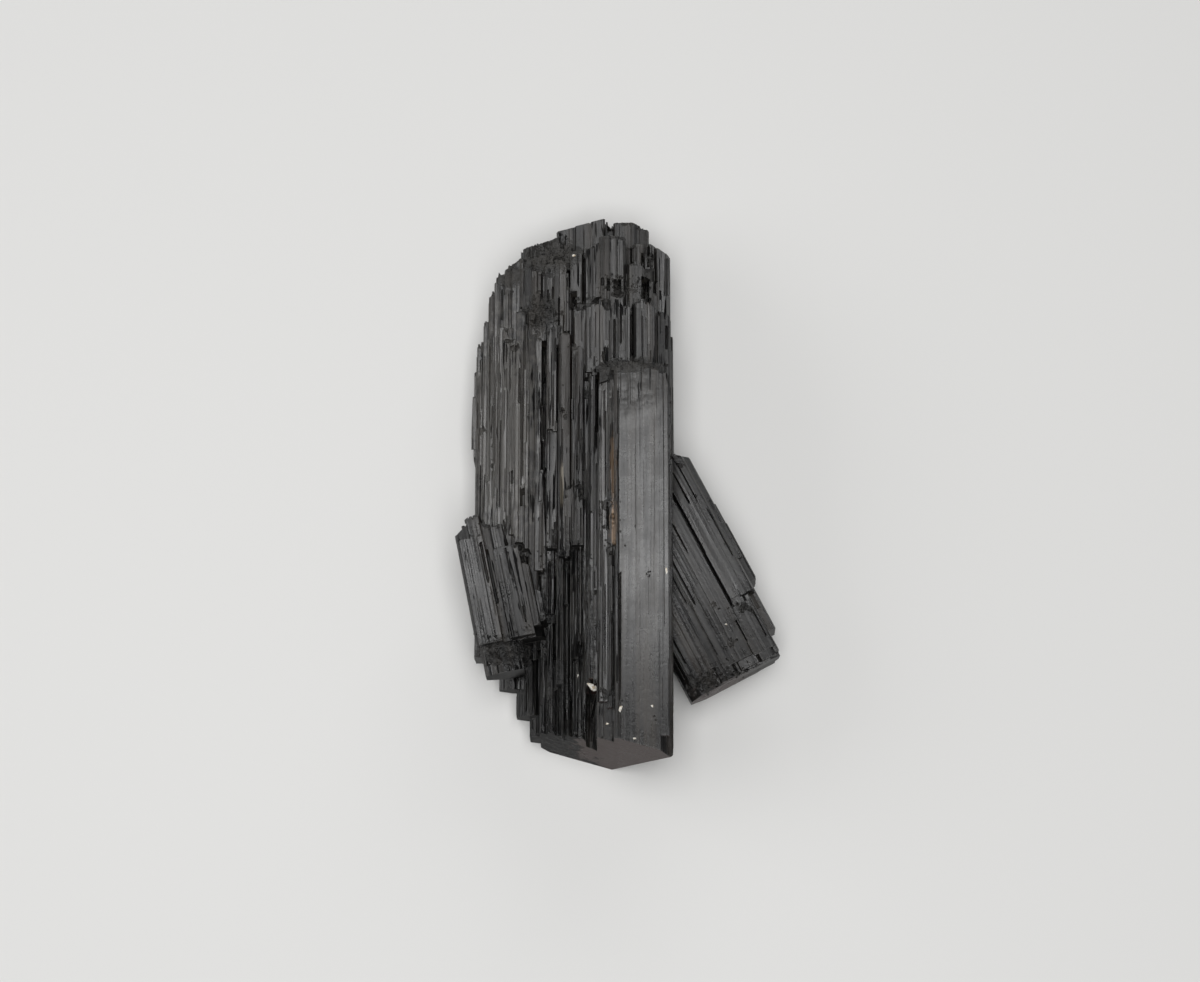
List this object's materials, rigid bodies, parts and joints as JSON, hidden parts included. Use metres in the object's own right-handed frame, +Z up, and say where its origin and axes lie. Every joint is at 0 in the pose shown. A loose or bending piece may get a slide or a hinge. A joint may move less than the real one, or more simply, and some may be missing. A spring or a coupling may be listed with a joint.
{
  "type": "black tourmaline crystal specimen",
  "caption": "Stepped, striated black tourmaline prism with a small crystal grown into its left flank and one leaning out of its right flank, lying on its back.",
  "frame": {"origin": "middle of the bounding box's base, on the surface that the specimen lies on", "axes": "+X across the specimen towards the crystal that leans out, +Y along the main crystal's axis towards its head, +Z up, away from the flat it lies on"},
  "size_m": [0.0401, 0.0702, 0.0168],
  "materials": {
    "tourmaline": "vitreous"
  },
  "bodies": {
    "root": {"tourmaline": "tourmaline"}
  },
  "joints": []
}
